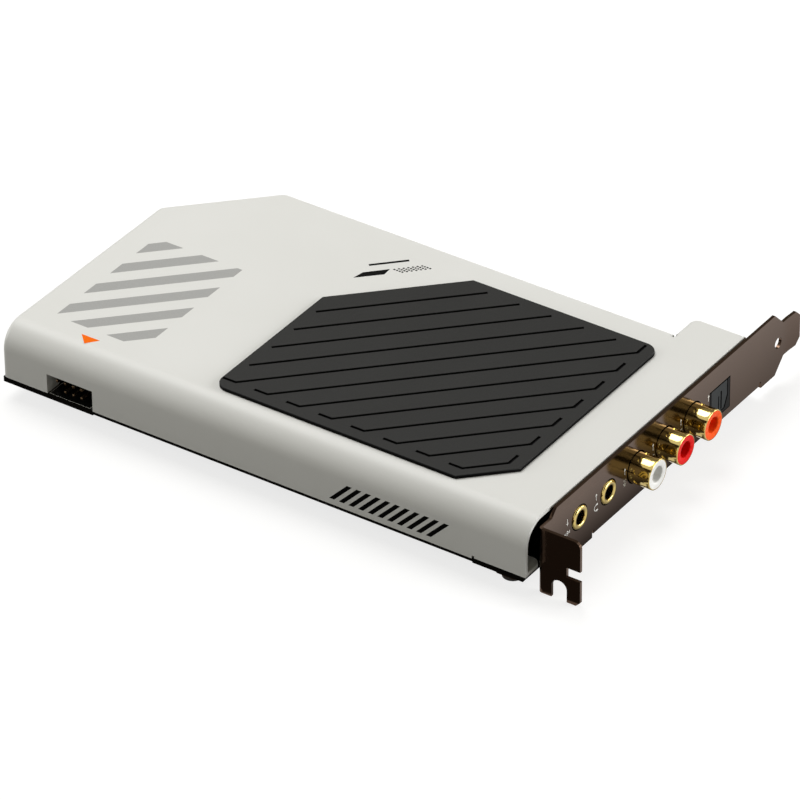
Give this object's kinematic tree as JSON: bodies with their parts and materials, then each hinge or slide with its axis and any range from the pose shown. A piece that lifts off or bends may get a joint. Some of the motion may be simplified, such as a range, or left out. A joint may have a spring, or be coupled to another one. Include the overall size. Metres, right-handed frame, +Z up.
{
  "type": "sound card",
  "caption": "Flat expansion card in a folded white cover with a grooved dark pad, a slot bracket carrying audio sockets, and a shuttered optical port.",
  "frame": {"origin": "under the middle of the card's outline, at the lowest edge of the bracket's tab", "axes": "+X towards the sockets, out of the bracket's face; +Y towards the card edge; +Z up, away from the solder side"},
  "size_m": [0.172, 0.1244, 0.0221],
  "materials": {
    "cover_paint": "satin white powder paint on sheet steel",
    "pad": "matt dark grey",
    "bracket_plating": "dark bronze bright plating",
    "board_laminate": "black solder mask",
    "gold_plating": "bright gold plate",
    "white_plastic": "moulded white",
    "red_plastic": "moulded red",
    "orange_plastic": "moulded orange",
    "socket_moulding": "moulded black",
    "shutter_plastic": "moulded dark grey",
    "emitter_resin": "tinted clear resin",
    "bare_steel": "bright steel",
    "can_aluminium": "drawn can",
    "relay_case": "moulded pale case",
    "clock_can": "plated can",
    "inductor_core": "pressed core",
    "passive_ceramic": "ceramic chips",
    "chip_resin": "moulded black resin"
  },
  "bodies": {
    "card": {"audio_clock": "clock_can", "audio_processor": "chip_resin", "bracket": "bracket_plating", "bracket_screws": "bare_steel", "bus_bridge_chip": "chip_resin", "bus_clock": "clock_can", "circuit_board": "board_laminate", "cover": "cover_paint", "cover_screws": "bare_steel", "digital_phono_contact": "gold_plating", "digital_phono_housing": "socket_moulding", "digital_phono_insulator": "orange_plastic", "digital_phono_shell": "gold_plating", "edge_contacts": "gold_plating", "filter_capacitor_1": "can_aluminium", "filter_capacitor_2": "can_aluminium", "filter_capacitor_3": "can_aluminium", "filter_capacitor_4": "can_aluminium", "flash_memory": "chip_resin", "header_base": "socket_moulding", "header_pins": "gold_plating", "headphone_amplifier": "chip_resin", "headphone_socket_contacts": "gold_plating", "headphone_socket_ferrule": "gold_plating", "headphone_socket_housing": "socket_moulding", "left_phono_contact": "gold_plating", "left_phono_housing": "socket_moulding", "left_phono_insulator": "white_plastic", "left_phono_shell": "gold_plating", "line_amplifier_1": "chip_resin", "line_amplifier_2": "chip_resin", "mic_socket_contacts": "gold_plating", "mic_socket_ferrule": "gold_plating", "mic_socket_housing": "socket_moulding", "optical_emitter": "emitter_resin", "optical_housing": "socket_moulding", "output_relay_1": "relay_case", "output_relay_2": "relay_case", "playback_converter": "chip_resin", "power_inductor": "inductor_core", "record_converter": "chip_resin", "right_phono_contact": "gold_plating", "right_phono_housing": "socket_moulding", "right_phono_insulator": "red_plastic", "right_phono_shell": "gold_plating", "shutter_pin": "bare_steel", "shutter_spring": "bare_steel", "small_passives": "passive_ceramic", "supply_capacitor_1": "can_aluminium", "supply_capacitor_2": "can_aluminium", "top_pad": "pad", "voltage_regulator": "chip_resin"},
    "shutter": {"optical_shutter": "shutter_plastic"}
  },
  "joints": [
    {"name": "shutter_hinge", "type": "hinge", "parent": "card", "child": "shutter", "pos_m": [0.07262, 0.02409, 0.01512], "axis": [0, 1, 0], "range_deg": [0, 85], "stiffness_Nm_per_rad": 0.0001, "springref_deg": -17.19}
  ]
}
